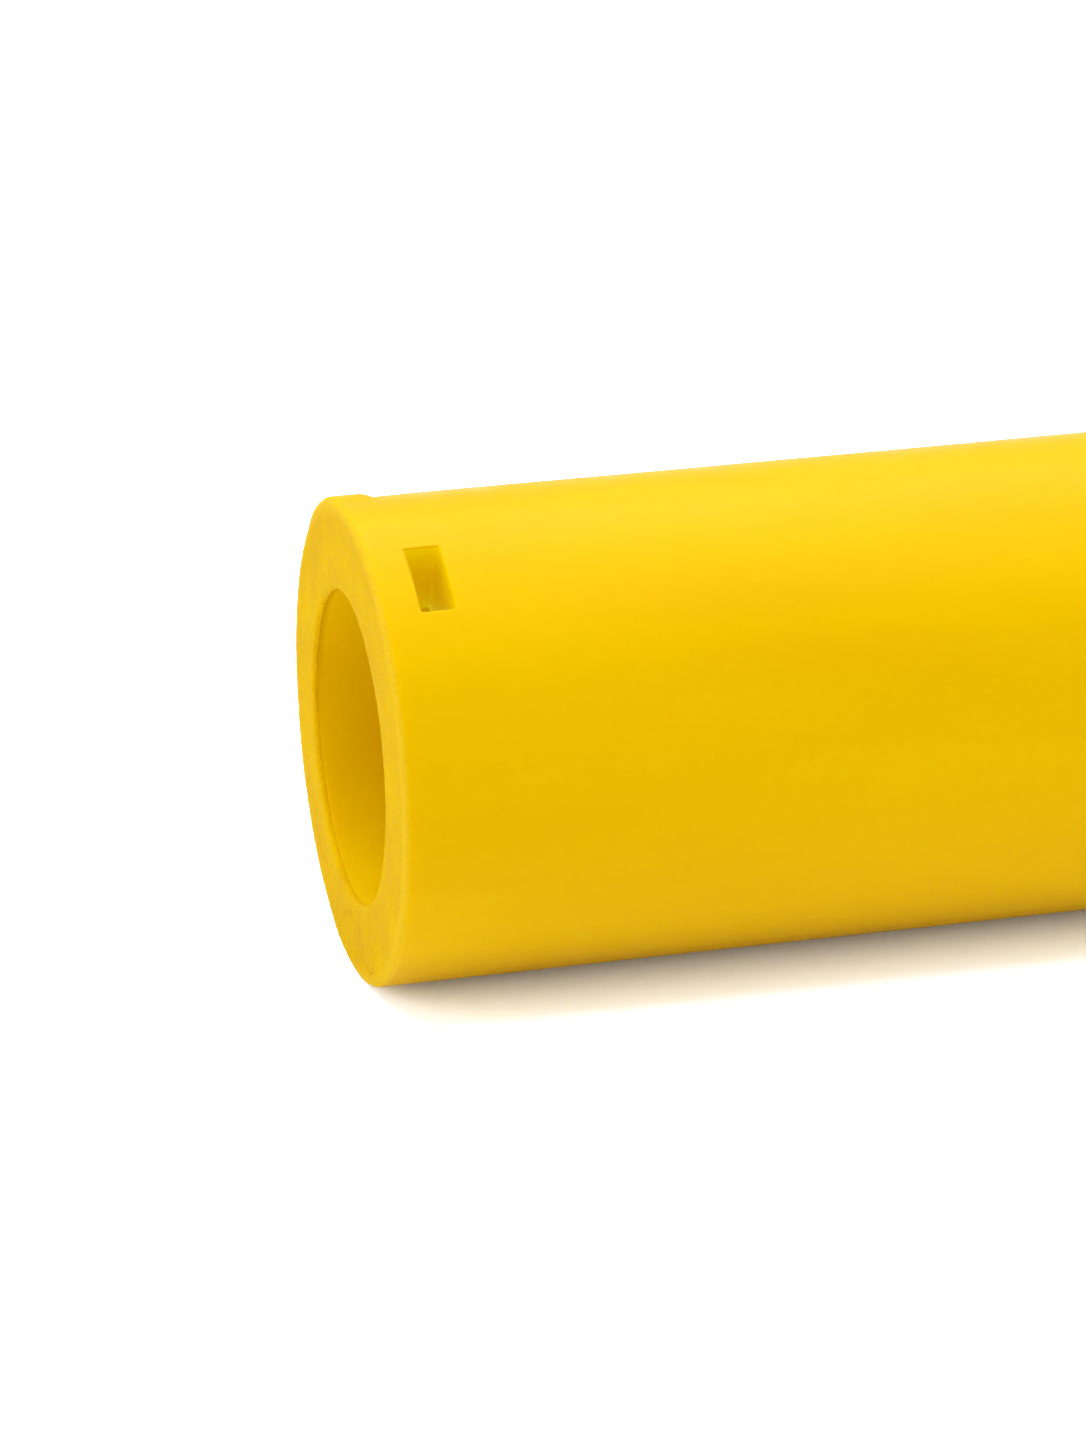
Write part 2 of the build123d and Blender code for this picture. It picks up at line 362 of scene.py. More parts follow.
tube_low, tube_high = (Vector(corner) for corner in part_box("foam_body"))
LENGTH = tube_high.x - tube_low.x
RADIUS = (tube_high.y - tube_low.y) / 2
plug_low, plug_high = (Vector(corner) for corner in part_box("near_plug"))
BORE = (plug_high.y - plug_low.y) / 2
slot_mount = mounts["near_slot_back"]
SLOT_ANGLE = math.degrees(math.atan2(slot_mount["axis"][1], slot_mount["axis"][2]))
SLOT_START = slot_mount["pos_m"][0] - SLOT_ALONG / 2
SLOT_END = SLOT_START + SLOT_ALONG


def slot_edge(radius):
    """Angle from a slot's middle to the edge of its rounded rim, on a wall of that radius."""
    return math.degrees(math.asin((SLOT_ROUND / 2 + RIM_ROUND) / radius))


def rim_offsets():
    """Places across a slot's rim, from one side to the other, that its columns start at."""
    reach = SLOT_ROUND + 2 * RIM_ROUND
    return [reach * (k / SLOT_COLUMNS - 0.5) for k in range(SLOT_COLUMNS + 1)]


def foam_columns():
    """Pairs of outer and inner angle from the top, and the columns that lie in a slot."""
    outer_edge, inner_edge = slot_edge(RADIUS), slot_edge(BORE)
    columns, in_slot = [], set()

    def between(outer, inner, count):
        for k in range(count):
            share = k / count
            columns.append([a + (b - a) * share for a, b in (outer, inner)])

    def across_slot(middle):
        for offset in rim_offsets()[:-1]:
            in_slot.add(len(columns))
            columns.append([middle + math.degrees(math.asin(offset / r)) for r in (RADIUS, BORE)])

    outer_near, outer_far = SLOT_ANGLE - outer_edge, SLOT_ANGLE + outer_edge
    inner_near, inner_far = SLOT_ANGLE - inner_edge, SLOT_ANGLE + inner_edge
    between((-outer_near, outer_near), (-inner_near, inner_near), COLUMNS_OVER_TOP)
    across_slot(SLOT_ANGLE)
    between((outer_far, 360 - outer_far), (inner_far, 360 - inner_far), COLUMNS_UNDER)
    across_slot(360 - SLOT_ANGLE)
    return columns, in_slot


def mirrored(values):
    return values + [LENGTH - v for v in reversed(values)]


def foam_stations():
    """Profile of the tube as (x, radius, share of the wall from skin to bore), once round."""
    rim_start, rim_end = SLOT_START - RIM_ROUND, SLOT_END + RIM_ROUND
    skin_x = spread(EDGE_ROUND, rim_start, 0.0014) + spread(rim_start, rim_end, 0.0017)
    skin_x += spread(rim_end, 0.035, 0.0023) + spread(0.035, 0.08, 0.005)
    skin_x = mirrored(skin_x + spread(0.08, LENGTH / 2 - 0.005, 0.01))
    bore_x = spread(LIP_ROUND, rim_start, 0.0019) + spread(rim_start, rim_end, 0.0017)
    bore_x += spread(rim_end, 0.05, 0.0045) + spread(0.05, 0.14, 0.015)
    bore_x = mirrored(bore_x + spread(0.14, LENGTH / 2 - 0.03, 0.06))
    face_outer, face_inner = RADIUS - EDGE_ROUND, BORE + LIP_ROUND
    face = spread(face_outer, face_inner, 0.0013)
    profile = [(x, RADIUS) for x in skin_x]
    profile += arc((LENGTH - EDGE_ROUND, face_outer), EDGE_ROUND, 90, 0, 5)
    profile += [(LENGTH, r) for r in face]
    profile += arc((LENGTH - LIP_ROUND, face_inner), LIP_ROUND, 0, -90, 7)
    profile += [(x, BORE) for x in reversed(bore_x)]
    profile += arc((LIP_ROUND, face_inner), LIP_ROUND, 270, 180, 7)
    profile += [(0.0, r) for r in reversed(face + [face_inner])][:-1]
    profile += arc((EDGE_ROUND, face_outer), EDGE_ROUND, 180, 90, 5)
    return profile, len(skin_x)


def wall_share(radius):
    """Share of the way through the wall, from 0 at the skin to 1 at the bore."""
    return min(1.0, max(0.0, (RADIUS - radius) / (RADIUS - BORE)))


def foam_point(x, radius, angles):
    share = wall_share(radius)
    angle = math.radians(angles[0] + (angles[1] - angles[0]) * share)
    return Vector((x, -radius * math.sin(angle), radius * math.cos(angle)))


def foam_relief(point):
    """How far a point of the foam lies off its true surface: waves, lips, and cut cells."""
    radius = math.hypot(point.y, point.z)
    outward = Vector((0, point.y / radius, point.z / radius))
    share = wall_share(radius)
    from_end = min(point.x, LENGTH - point.x)
    behind_top = math.degrees(math.atan2(point.y, point.z))
    move = Vector((0, 0, 0))
    skin = 1 - smooth_step(share, 0.0, 0.35)
    waves = noise.noise(Vector((point.x * 6, point.y * 16, point.z * 16 + 3)))
    ripples = noise.noise(Vector((point.x * 25, point.y * 60, point.z * 60 + 9)))
    move += outward * skin * (WAVE_HEIGHT * waves + RIPPLE_HEIGHT * ripples - SKIN_SINK)
    past_slot = behind_top - SLOT_ANGLE
    beside = smooth_step(past_slot, -LIGAMENT_FADE_END, -LIGAMENT_FADE_START)
    beside *= 1 - smooth_step(past_slot, LIGAMENT_FADE_START, LIGAMENT_FADE_END)
    lip = 1 - smooth_step(from_end, SLOT_START - 0.0015, SLOT_START)
    move += outward * skin * LIGAMENT_RISE * beside * lip
    mouth = 1 - smooth_step(point.x, BORE_DROP_START, BORE_DROP_END)
    move += Vector((0, 0, -BORE_DROP)) * mouth * smooth_step(share, 0.3, 1.0)
    face = 1 - smooth_step(from_end, 0.0, 0.003)
    inward = 1 if point.x < LENGTH / 2 else -1
    cut = 0.5 + 0.5 * noise.noise(Vector((point.x * 40, point.y * 45, point.z * 45)))
    cells = abs(noise.noise(Vector((point.x * 420, point.y * 420, point.z * 420))))
    move += Vector((inward, 0, 0)) * face * (CUT_HEIGHT * cut + CELL_HEIGHT * cells)
    return move


def slot_outline(x, offset, middle_x):
    """Nearest point of a slot's rounded outline to a point of its rim."""
    half_along, half_round = SLOT_ALONG / 2 - SLOT_CORNER, SLOT_ROUND / 2 - SLOT_CORNER
    core = Vector((clamped(x - middle_x, half_along), clamped(offset, half_round)))
    out = Vector((x - middle_x, offset)) - core
    place = core + out.normalized() * SLOT_CORNER
    return place.x + middle_x, place.y


def add_slot(points, faces, rim, middle_x, angle):
    """Walls of a slot. rim lists (skin vertex, bore vertex, x, offset) round its edge."""
    turn = math.radians(angle)
    upward = Vector((0, -math.sin(turn), math.cos(turn)))
    sideways = Vector((0, -math.cos(turn), -math.sin(turn)))
    quarter = [math.pi / 8 * k for k in range(1, 5)]
    rings = [[corner[0] for corner in rim]]

    def add_ring(place_of):
        rings.append(list(range(len(points), len(points) + len(rim))))
        for _, _, x, offset in rim:
            wall_x, wall_offset = slot_outline(x, offset, middle_x)
            shift, height = place_of(wall_offset)
            place_x = wall_x + (x - wall_x) * shift
            place_offset = wall_offset + (offset - wall_offset) * shift
            points.append(Vector((place_x, 0, 0)) + sideways * place_offset + upward * height)

    def on_wall(radius, offset, depth):
        return math.sqrt(radius**2 - offset**2) + depth

    for a in quarter:
        add_ring(lambda o, a=a: (1 - math.sin(a), on_wall(RADIUS, o, -RIM_ROUND * (1 - math.cos(a)))))
    for k in range(1, SLOT_WALL_STEPS):
        share = k / SLOT_WALL_STEPS
        add_ring(
            lambda o, share=share: (
                0,
                on_wall(RADIUS, o, -RIM_ROUND) * (1 - share) + on_wall(BORE, o, RIM_ROUND) * share,
            )
        )
    for a in reversed(quarter):
        add_ring(lambda o, a=a: (1 - math.sin(a), on_wall(BORE, o, RIM_ROUND * (1 - math.cos(a)))))
    rings.append([corner[1] for corner in rim])
    for upper, lower in zip(rings, rings[1:]):
        for k in range(len(upper)):
            after = (k + 1) % len(upper)
            faces.append((upper[k], upper[after], lower[after], lower[k]))


def rows_between(profile, rows, low, high, radius):
    """Rows of the profile from low to high along the tube, in order of x, on a wall of that radius."""
    tiny = 1e-6
    on_wall = [i for i in rows if abs(profile[i][1] - radius) < tiny]
    inside = [i for i in on_wall if low - tiny < profile[i][0] < high + tiny]
    return sorted(inside, key=lambda i: profile[i][0])


def around(low, high, first, last):
    """Grid steps round a rectangle of rows low to high and columns first to last."""
    steps = [(low, j) for j in range(first, last)]
    steps += [(i, last) for i in range(low, high)]
    steps += [(high, j) for j in range(last, first, -1)]
    return steps + [(i, first) for i in range(high, low, -1)]


def build_foam(*materials):
    profile, skin_count = foam_stations()
    columns, in_slot = foam_columns()
    count = len(columns)
    every = range(len(profile))
    rim_low, rim_high = SLOT_START - RIM_ROUND, SLOT_END + RIM_ROUND
    holes = []
    for low, high in ((rim_low, rim_high), (LENGTH - rim_high, LENGTH - rim_low)):
        skin_rows = rows_between(profile, every[:skin_count], low, high, RADIUS)
        bore_rows = rows_between(profile, every[skin_count:], low, high, BORE)
        holes.append((skin_rows, bore_rows))
    open_rows = {i for pair in holes for rows in pair for i in range(min(rows), max(rows))}
    points = [foam_point(x, radius, angles) for x, radius in profile for angles in columns]
    faces = wrapped_faces(len(profile), count, lambda i, j: j not in in_slot or i not in open_rows)
    starts = sorted(j for j in in_slot if j - 1 not in in_slot)
    for skin_rows, bore_rows in holes:
        middle_x = (profile[skin_rows[0]][0] + profile[skin_rows[-1]][0]) / 2
        for start, angle in zip(starts, (SLOT_ANGLE, -SLOT_ANGLE)):
            rim = []
            for i, j in around(0, len(skin_rows) - 1, 0, SLOT_COLUMNS):
                column = (start + j) % count
                skin, bore = skin_rows[i] * count + column, bore_rows[i] * count + column
                rim.append((skin, bore, profile[skin_rows[i]][0], rim_offsets()[j]))
            add_slot(points, faces, rim, middle_x, angle)
    mesh = mesh_from("foam_tube", points, faces)
    shape = bmesh.new()
    shape.from_mesh(mesh)
    bmesh.ops.recalc_face_normals(shape, faces=shape.faces)
    for face in shape.faces:
        face.material_index = foam_zone(face)
    for vertex in shape.verts:
        vertex.co += foam_relief(vertex.co)
    shape.to_mesh(mesh)
    shape.free()
    piece = new_piece("foam_tube", mesh, "tube", materials)
    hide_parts("foam_body")


def foam_zone(face):
    """0 for skin, 1 for a cut end, 2 for the bore and 3 for a slot's walls."""
    middle = face.calc_center_median()
    radius = math.hypot(middle.y, middle.z)
    from_end = min(middle.x, LENGTH - middle.x)
    if from_end < 0.9 * LIP_ROUND and (abs(face.normal.x) > 0.3 or radius < RADIUS - 0.01):
        return 1
    if radius > RADIUS - 0.0005:
        return 0
    return 2 if radius < BORE + 0.0005 else 3


# Plugs


def build_plug(node, material):
    """Foam disc with a strap slot: rings from the slot's outline to the rim and back."""
    low, high = (Vector(corner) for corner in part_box(node))
    radius = (high.y - low.y) / 2
    half_width, half_height = 0.014, 0.0025
    slot_z = -STRAP_THICK / 2
    count = 160
    edge = 0.0012

    def inner(angle):
        c, s = math.cos(angle), math.sin(angle)
        power = 2 / 7
        y = half_width * math.copysign(abs(c) ** power, c)
        z = half_height * math.copysign(abs(s) ** power, s)
        return Vector((0, y, z + slot_z))

    def outer(angle):
        return Vector((0, radius * math.cos(angle), radius * math.sin(angle)))

    face = [0.0, 0.012, 0.03] + spread(0.06, 0.97, 0.035) + [0.985, 1.0]
    depth = high.x - low.x
    rows = []
    for share in face:
        rows.append((share, low.x + plug_edge(share, edge)))
    rows += [(1.0, low.x + edge + (depth - 2 * edge) * k / 6) for k in range(1, 6)]
    for share in reversed(face):
        rows.append((share, high.x - plug_edge(share, edge)))
    rows += [(0.0, high.x - edge - (depth - 2 * edge) * k / 4) for k in range(1, 4)]
    points = []
    for share, x in rows:
        for k in range(count):
            angle = 2 * math.pi * k / count
            point = inner(angle).lerp(outer(angle), share)
            crown = 0.0005 * noise.noise(Vector((x * 20, point.y * 40, point.z * 40)))
            pits = 0.0002 * abs(noise.noise(Vector((x * 300, point.y * 330, point.z * 330))))
            facing = 1 if x < (low.x + high.x) / 2 else -1
            inside = 1.0 if 0 < share < 1 else 0.0
            point.x = x + facing * inside * (abs(crown) + pits)
            points.append(point)
    mesh = mesh_from(node + "_foam", points, wrapped_faces(len(rows), count))
    shape = bmesh.new()
    shape.from_mesh(mesh)
    bmesh.ops.recalc_face_normals(shape, faces=shape.faces)
    shape.to_mesh(mesh)
    shape.free()
    piece = new_piece(node + "_foam", mesh, "tube", (material,))
    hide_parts(node)


def plug_edge(share, edge):
    """Set-back of a plug's face, which rounds off at its rim and at its slot."""
    return edge * (1 - smooth_step(share, 0.0, 0.03)) + edge * smooth_step(share, 0.97, 1.0)


# Straps


def fold(bar, away, near_z, far_z):
    """Centre line round a bar, from one layer to the other. away is +1 if the layers lie at +X."""
    bar_x, bar_z = bar
    points = []
    angles = []
    for z in (near_z, far_z):
        dx, dz = FOLD_ROOT, z - bar_z
        reach = math.hypot(dx, dz)
        turn = math.acos(FOLD_RADIUS / reach)
        base = math.atan2(dz, dx)
        angles.append(base + turn if z == max(near_z, far_z) else base - turn)
    start, end = angles
    round_bar = 2 * math.pi + end - start if start > end else end - start - 2 * math.pi
    sweep = [start + round_bar * k / FOLD_STEPS for k in range(FOLD_STEPS + 1)]
    points.append((bar_x + away * FOLD_ROOT, near_z))
    points += [(bar_x + away * FOLD_RADIUS * math.cos(a), bar_z + FOLD_RADIUS * math.sin(a)) for a in sweep]
    points.append((bar_x + away * FOLD_ROOT, far_z))
    return points


def rounded(corners):
    """Points of a line through (x, z, radius) corners, each turned with an arc of that radius."""
    points = [Vector(corners[0][:2])]
    for before, corner, after in zip(corners, corners[1:], corners[2:]):
        here = Vector(corner[:2])
        back = (Vector(before[:2]) - here).normalized()
        ahead = (Vector(after[:2]) - here).normalized()
        half = back.angle(ahead) / 2
        radius = corner[2]
        middle = here + (back + ahead).normalized() * radius / math.sin(half)
        start = here + back * radius / math.tan(half)
        end = here + ahead * radius / math.tan(half)
        for k in range(17):
            ray = (start - middle).lerp(end - middle, k / 16).normalized()
            points.append(middle + ray * radius)
    points.append(Vector(corners[-1][:2]))
    return [tuple(p) for p in points]


def resampled(points, step_at):
    """Points along a line, as far apart as step_at(x) says where they lie."""
    line = np.array(points)
    reach = np.concatenate([[0], np.cumsum(np.linalg.norm(np.diff(line, axis=0), axis=1))])
    places = [0.0]
    while places[-1] < reach[-1]:
        x = np.interp(places[-1], reach, line[:, 0])
        places.append(places[-1] + step_at(x))
    places[-1] = reach[-1]
    return np.array(places), np.stack([np.interp(places, reach, line[:, k]) for k in (0, 1)], 1)


def weave(along, across):
    """Height of a strap's yarns: floats along the strap, stepping over in a chevron."""
    rib = (across + STRAP_WIDTH / 2) / RIB_PITCH
    step = abs(np.floor(rib) - 5.5) * 0.5
    float_shape = np.abs(np.sin(np.pi * (along / FLOAT_LENGTH + step)))
    return WEAVE_RISE * (np.abs(np.sin(np.pi * rib)) * 0.6 + float_shape * 0.8 - 0.9)


def build_strap(name, body, points, step_at, replaced, material):
    """Woven strap along a centre line in the XZ plane, with rounded selvedges and cut ends."""
    along, line = resampled(points, step_at)
    tangent = np.gradient(line, axis=0)
    tangent /= np.linalg.norm(tangent, axis=1)[:, None]
    normal = np.stack([-tangent[:, 1], tangent[:, 0]], 1)
    half_width, half_thick = STRAP_WIDTH / 2, STRAP_THICK / 2
    across = np.linspace(-half_width + SELVEDGE, half_width - SELVEDGE, 49)
    turn = np.radians([60, 30, 0, -30, -60])
    ring = [(y, 1.0, True) for y in across]
    ring += [(half_width - SELVEDGE + SELVEDGE * math.cos(a), math.sin(a), False) for a in turn]
    ring += [(y, -1.0, True) for y in across[::-1]]
    ring += [(-half_width + SELVEDGE - SELVEDGE * math.cos(a), -math.sin(a), False) for a in turn]
    vertices = []
    raised = []
    for s, (x, z), (nx, nz) in zip(along, line, normal):
        for y, side, woven in ring:
            rise = weave(s + (FLOAT_LENGTH / 2 if side < 0 else 0), y) if woven else 0.0
            # Height of each yarn, which the webbing material turns into painted shade in the weave's hollows.
            raised.append(0.5 + rise / WEAVE_RISE)
            height = side * (half_thick - YARN_SINK + rise)
            vertices.append((x + nx * height, y, z + nz * height))
    columns = len(ring)
    faces = []
    for i in range(len(along) - 1):
        for j in range(columns):
            beside = (j + 1) % columns
            corners = (i, j), (i, beside), (i + 1, beside), (i + 1, j)
            faces.append(tuple(a * columns + b for a, b in corners))
    last = (len(along) - 1) * columns
    faces.append(tuple(range(columns)))
    faces.append(tuple(last + j for j in reversed(range(columns))))
    mesh = mesh_from(name, vertices, faces)
    shape = bmesh.new()
    shape.from_mesh(mesh)
    bmesh.ops.recalc_face_normals(shape, faces=shape.faces)
    caps = [face for face in shape.faces if len(face.verts) > 4]
    bmesh.ops.triangulate(shape, faces=caps)
    shape.to_mesh(mesh)
    shape.free()
    values = mesh.attributes.new("raised", "FLOAT", "POINT").data
    values.foreach_set("value", np.array(raised, dtype=np.float32))
    piece = new_piece(name, mesh, body, (material,))
    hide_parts(replaced)
    return piece


def hump(node):
    """Corners of the strap where it passes over the middle bar of a slide."""
    low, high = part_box(node)
    middle = (low[0] + high[0]) / 2
    thick = high[2] - low[2]
    foot = SLIDE_BAR / 2 + SLIDE_OPENING * 0.8
    shoulder = SLIDE_BAR / 2 + SLIDE_OPENING * 0.18
    over = thick + STRAP_THICK / 2 + HUMP_GAP
    flat = -STRAP_THICK / 2
    places = (-foot, flat), (-shoulder, over), (shoulder, over), (foot, flat)
    return [(middle + aside, height, HUMP_BEND) for aside, height in places]


def main_strap(material):
    """The load strap, from the near ring to the hook's eye. It is coarse between the slides."""
    half = STRAP_THICK / 2
    near_bar = joints["near_ring_swing"]["pos_m"]
    eye_bar = joints["hook_tilt"]["pos_m"]
    near_tail = near_bar[0] + FOLD_ROOT + NEAR_SEWN
    far_tail = eye_bar[0] - FOLD_ROOT - FAR_SEWN
    drop_start = LENGTH + LEAD_TURN
    lead_z = eye_bar[2] - half
    drop_end = drop_start + (-half - lead_z) / math.tan(math.radians(LEAD_SLOPE))
    points = [(near_tail, half)]
    points += fold((near_bar[0], near_bar[2]), 1, half, -half)
    corners = [(near_bar[0] + FOLD_ROOT, -half, 0)]
    corners += hump("near_slide") + hump("far_slide")
    corners += [(drop_start, -half, LEAD_BEND), (drop_end, lead_z, LEAD_BEND)]
    corners += [(eye_bar[0] - FOLD_ROOT, lead_z, 0)]
    points += rounded(corners)[1:-1]
    points += fold((eye_bar[0], eye_bar[2]), -1, lead_z, eye_bar[2] + half)
    points += [(far_tail, eye_bar[2] + half)]
    sealed_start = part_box("near_slide")[1][0]
    sealed_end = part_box("far_slide")[0][0]

    def step_at(x):
        return HIDDEN_STEP if sealed_start < x < sealed_end - HIDDEN_STEP else YARN_STEP

    build_strap("load_strap", "tube", points, step_at, "load_webbing", material)


def tow_strap(material):
    """The short strap on the lead that holds the towing ring."""
    half = STRAP_THICK / 2
    bar = joints["tow_ring_swing"]["pos_m"]
    tail = bar[0] - FOLD_ROOT - TOW_SEWN
    points = [(tail, half)]
    points += fold((bar[0], bar[2]), -1, half, 3 * half)
    points += [(tail, 3 * half)]
    build_strap("tow_strap", "tube", points, lambda x: YARN_STEP, "tow_loop", material)


# Stitching


def add_stitch(shape, start, end, height, side):
    """One thread float that rises out of the strap and dives back in."""
    radius = THREAD_RADIUS
    direction = (end - start).normalized()
    across = Vector((-direction.y, direction.x))
    rings = []
    for k in range(STITCH_SECTIONS):
        share = k / (STITCH_SECTIONS - 1)
        centre = start.lerp(end, share)
        lift = math.sin(math.pi * share) ** 0.5 * radius * 1.1 - radius * 0.9
        width = radius * (0.45 + 0.55 * math.sin(math.pi * share) ** 0.5)
        ring = []
        for turn in range(STITCH_SIDES):
            angle = 2 * math.pi * turn / STITCH_SIDES
            offset = across * math.cos(angle) * width
            z = height + side * (lift + math.sin(angle) * width)
            ring.append(shape.verts.new((centre.x + offset.x, centre.y + offset.y, z)))
        rings.append(ring)
    for first, second in zip(rings, rings[1:]):
        for turn in range(STITCH_SIDES):
            after = (turn + 1) % STITCH_SIDES
            shape.faces.new((first[turn], first[after], second[after], second[turn]))
    shape.faces.new(rings[0][::-1])
    shape.faces.new(rings[-1])


def build_stitching(node, faces_at, material):
    """Lock stitches in a box with a cross, on the strap faces at those heights."""
    (x0, y0, _), (x1, y1, _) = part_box(node)
    corners = [Vector(corner) for corner in ((x0, y0), (x1, y0), (x1, y1), (x0, y1))]
    lines = list(zip(corners, corners[1:] + corners[:1]))
    lines += [(corners[0], corners[2]), (corners[1], corners[3])]
    shape = bmesh.new()
    for height, side in faces_at:
        for start, end in lines:
            count = round((end - start).length / STITCH_PITCH)
            for k in range(count):
                first = start.lerp(end, (k + STITCH_GAP) / count)
                second = start.lerp(end, (k + 1 - STITCH_GAP) / count)
                add_stitch(shape, first, second, height, side)
    bmesh.ops.recalc_face_normals(shape, faces=shape.faces)
    mesh = bpy.data.meshes.new(node + "_thread")
    shape.to_mesh(mesh)
    shape.free()
    mesh.polygons.foreach_set("use_smooth", [True] * len(mesh.polygons))
    piece = new_piece(node + "_thread", mesh, "tube", (material,))
    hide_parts(node)


def all_stitching(material):
    eye_z = joints["hook_tilt"]["pos_m"][2]
    thick = STRAP_THICK
    build_stitching("near_stitching", ((thick, 1), (-thick, -1)), material)
    build_stitching("far_stitching", ((eye_z + thick, 1), (eye_z - thick, -1)), material)
    build_stitching("tow_stitching", ((2 * thick, 1), (-thick, -1)), material)


# Carried-over hardware


def dress(material, *names):
    for name in names:
        for holder in nodes[name].material_slots:
            holder.material = material


def dress_hardware():
    slide = moulded_plastic("slide_material", (0.010, 0.010, 0.011), (0.02, 0.02, 0.021), 0.45)
    washer = moulded_plastic("washer_material", (0.62, 0.61, 0.56), (0.7, 0.69, 0.64), 0.35)
    ring = stainless("ring_material", (0.58, 0.58, 0.57), 0.18, (300, 900, 300))
    hook = stainless("hook_material", (0.50, 0.50, 0.49), 0.26, (250, 900, 900))
    gate = stainless("gate_material", (0.56, 0.56, 0.55), 0.22, (200, 1200, 1200))
    spring = stainless("spring_material", (0.55, 0.55, 0.56), 0.3, (900, 900, 900))
    dress(sheet_plastic(), "near_plate", "far_plate")
    dress(slide, "near_slide", "far_slide")
    dress(washer, "swivel_washer")
    dress(ring, "near_ring", "tow_ring")
    dress(hook, "swivel_eye", "hook_body")
    dress(gate, "hook_gate", "gate_pin")
    dress(spring, "gate_spring")


# Stage


def build_floor():
    """A plain pale floor, which the camera sees as white as an overexposed backdrop. Beside the foam it is painted
    bluer, which cancels the yellow light that the foam throws into its shadow.
    """
    bpy.ops.mesh.primitive_plane_add(size=60, location=(LENGTH / 2, 0, -RADIUS))
    floor = bpy.context.object
    floor.name = "floor"
    shader = Shader("floor_material", Base_Color=FLOOR_PALE, Roughness=1.0, Specular_IOR_Level=0.0)
    position = shader.add("ShaderNodeNewGeometry").outputs["Position"]
    along = shader.add("ShaderNodeSeparateXYZ", {"Vector": position}).outputs["X"]
    # Painted shadow colour: the floor beside the foam is tinted bluer for the camera, against the yellow light
    # bounced off the foam.
    past_foam = shader.span(along, 0.0, 1.0, LENGTH - 0.01, LENGTH + 0.06)
    tint = shader.mix(past_foam, FLOOR_BESIDE_FOAM, FLOOR_SEEN)
    overexposed = shader.add("ShaderNodeBsdfDiffuse", {"Color": tint}).outputs[0]
    by_camera = shader.add("ShaderNodeLightPath").outputs["Is Camera Ray"]
    either = shader.add("ShaderNodeMixShader", {0: by_camera, 1: shader.surface.outputs[0], 2: overexposed})
    surface = shader.tree.nodes["Material Output"].inputs["Surface"]
    shader.tree.links.new(either.outputs[0], surface)
    floor.data.materials.append(shader.material)


def soft_sun(name, energy, width, towards):
    """A light from one side, as wide as the given angle of sky."""
    light = bpy.data.lights.new(name, "SUN")
    light.energy = energy
    light.angle = math.radians(width)
    lamp = bpy.data.objects.new(name, light)
    bpy.context.scene.collection.objects.link(lamp)
    lamp.rotation_euler = Vector(towards).to_track_quat("Z", "Y").to_euler()


def build_lights():
    """One broad soft light over the tube, a weaker one off its near end, and a dim surround."""
    soft_sun("overhead", 2.8, 80, (0.0, 0.25, 1.0))
    soft_sun("near_side", 0.98, 60, (-0.93, -0.29, 0.2))
    world = bpy.data.worlds.new("surround")
    world.use_nodes = True
    tree = world.node_tree
    dim, white = tree.nodes["Background"], tree.nodes.new("ShaderNodeBackground")
    either, seen = tree.nodes.new("ShaderNodeMixShader"), tree.nodes.new("ShaderNodeLightPath")
    for background, strength in ((dim, SURROUND), (white, SURROUND_SEEN)):
        background.inputs["Color"].default_value = (1, 1, 1, 1)
        background.inputs["Strength"].default_value = strength
    tree.links.new(seen.outputs["Is Camera Ray"], either.inputs[0])
    tree.links.new(dim.outputs[0], either.inputs[1])
    tree.links.new(white.outputs[0], either.inputs[2])
    tree.links.new(either.outputs[0], tree.nodes["World Output"].inputs["Surface"])
    bpy.context.scene.world = world
    bpy.context.scene.view_settings.view_transform = "Standard"


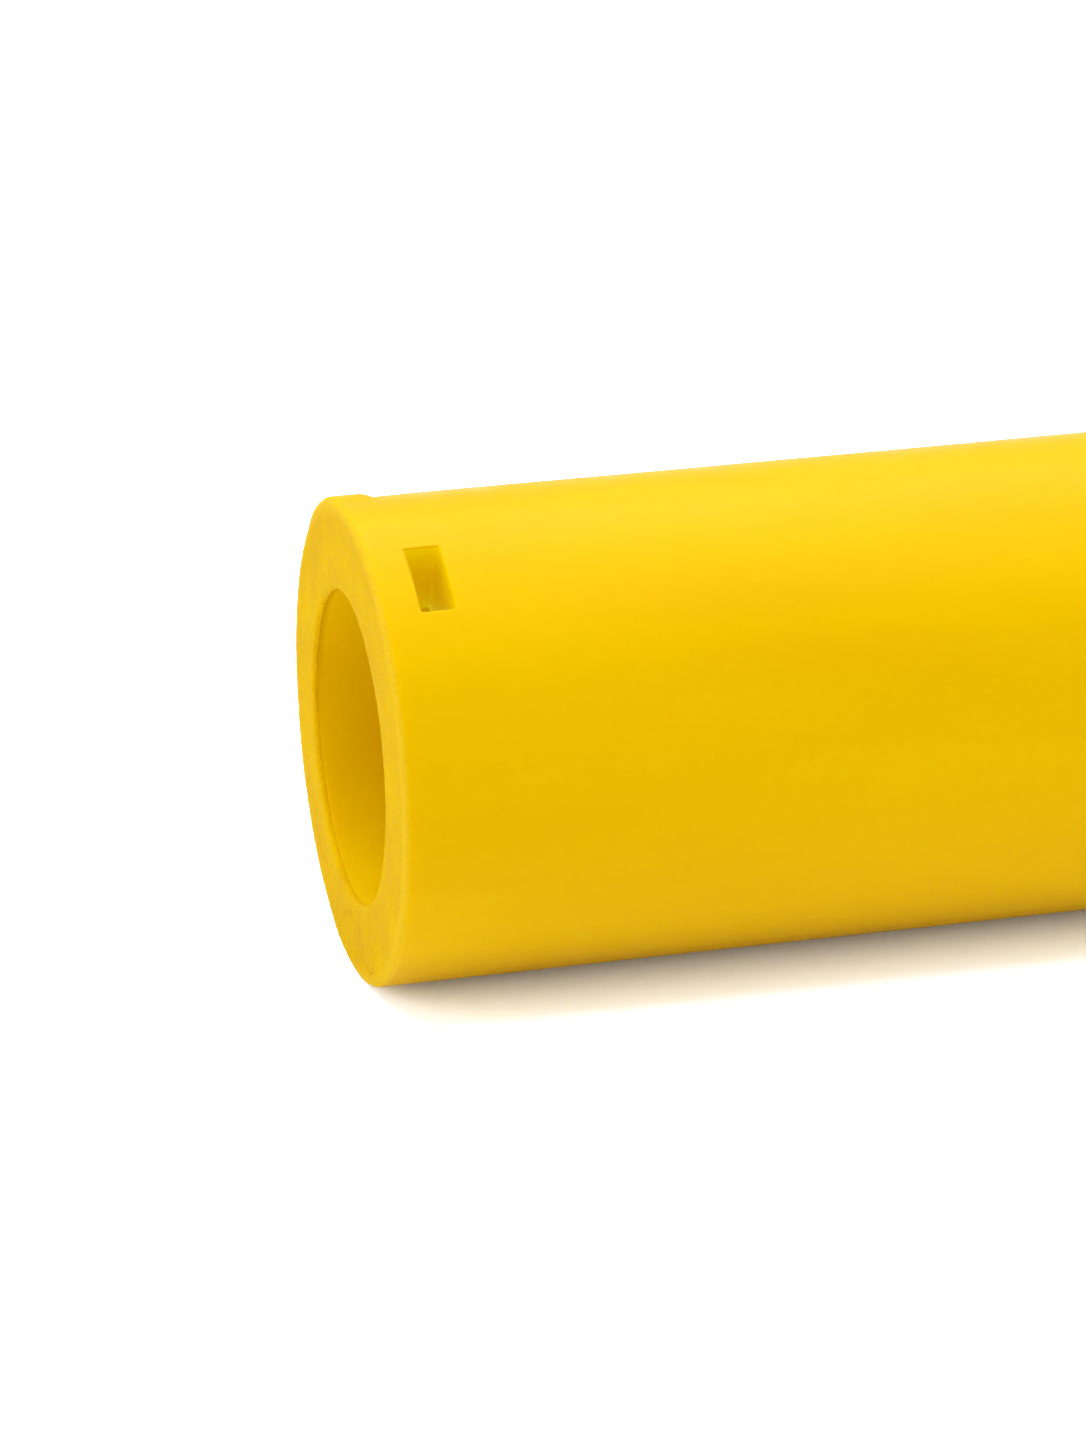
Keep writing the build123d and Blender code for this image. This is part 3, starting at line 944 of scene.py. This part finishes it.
def build_camera():
    """A long lens on the near end, turned a little off square and looking down."""
    azimuth, elevation = math.radians(14.61), math.radians(22.49)
    distance, aside, above = 1.9523, 0.0598, 0.0062
    level = math.cos(elevation)
    back = Vector((-math.sin(azimuth) * level, -math.cos(azimuth) * level, math.sin(elevation)))
    right = (-back).cross(Vector((0, 0, 1))).normalized()
    up = right.cross(-back)
    near_end = Vector((tube_low.x, 0, 0))
    lens = bpy.data.cameras.new("camera")
    lens.lens = 158.96
    lens.clip_end = 100
    camera = bpy.data.objects.new("camera", lens)
    bpy.context.scene.collection.objects.link(camera)
    turn = Matrix((right, up, back)).transposed().to_4x4()
    camera.matrix_world = Matrix.Translation(near_end + back * distance + right * aside + up * above) @ turn
    bpy.context.scene.camera = camera


def foam_materials():
    """Materials of the foam tube: its skin, its cut ends, its bore and the walls of its slots. Light is painted
    into the bore, the slot walls and the outer edge of the cut ends.
    """
    skin = yellow_foam(
        "foam_skin", deep=(0.93, 0.55, 0.0), bright=(0.98, 0.60, 0.0), cloud=(7, 34, 34),
        grain=0.03, streaks=0.05, rough=0.36, shine=0.12, glow=0.3, soak=SKIN_SOAK,
    )
    cut = yellow_foam(
        "foam_cut", deep=(0.76, 0.435, 0.0), bright=(0.84, 0.515, 0.0), cloud=(60, 60, 60),
        grain=0.8, streaks=0.0, rough=0.66, shine=0.03, glow=0.3, soak=SKIN_SOAK,
    )
    # Painted light: the bore and the slot walls get lighter, less orange copies of the foam than the skin and the
    # cut ends, which lift the shade inside the bore and the slots.
    bore = yellow_foam(
        "foam_bore", deep=(0.99, 0.62, 0.0), bright=(1.0, 0.66, 0.0), cloud=(20, 40, 40),
        grain=0.12, streaks=0.1, rough=0.6, shine=0.06, glow=0.3, soak=SKIN_SOAK,
    )
    slot = yellow_foam(
        "foam_slot", deep=(0.96, 0.585, 0.0), bright=(0.99, 0.625, 0.0), cloud=(60, 60, 60),
        grain=0.05, streaks=0.0, rough=0.65, shine=0.06, glow=0.8, soak=SLOT_SOAK,
    )
    add_nicks(cut)
    # Painted highlight: the cut ends are coloured lighter towards their rounded outer edge, where the rounding
    # catches the light.
    paint_light_by_radius(cut, RADIUS - 0.005, RADIUS - 0.001, (0.87, 0.55, 0.015))
    # Painted light: the slot walls are coloured lighter and less orange deeper in, which lifts the shade inside
    # the slots.
    paint_light_by_radius(slot, RADIUS - 0.002, RADIUS - 0.008, (1.0, 0.68, 0.0))
    return [shader.material for shader in (skin, cut, bore, slot)]


build_camera()
build_lights()
build_floor()
build_foam(*foam_materials())
plug_material = dark_foam()
build_plug("near_plug", plug_material)
build_plug("far_plug", plug_material)
webbing = strap_fabric()
main_strap(webbing)
tow_strap(webbing)
all_stitching(thread_material())
dress_hardware()
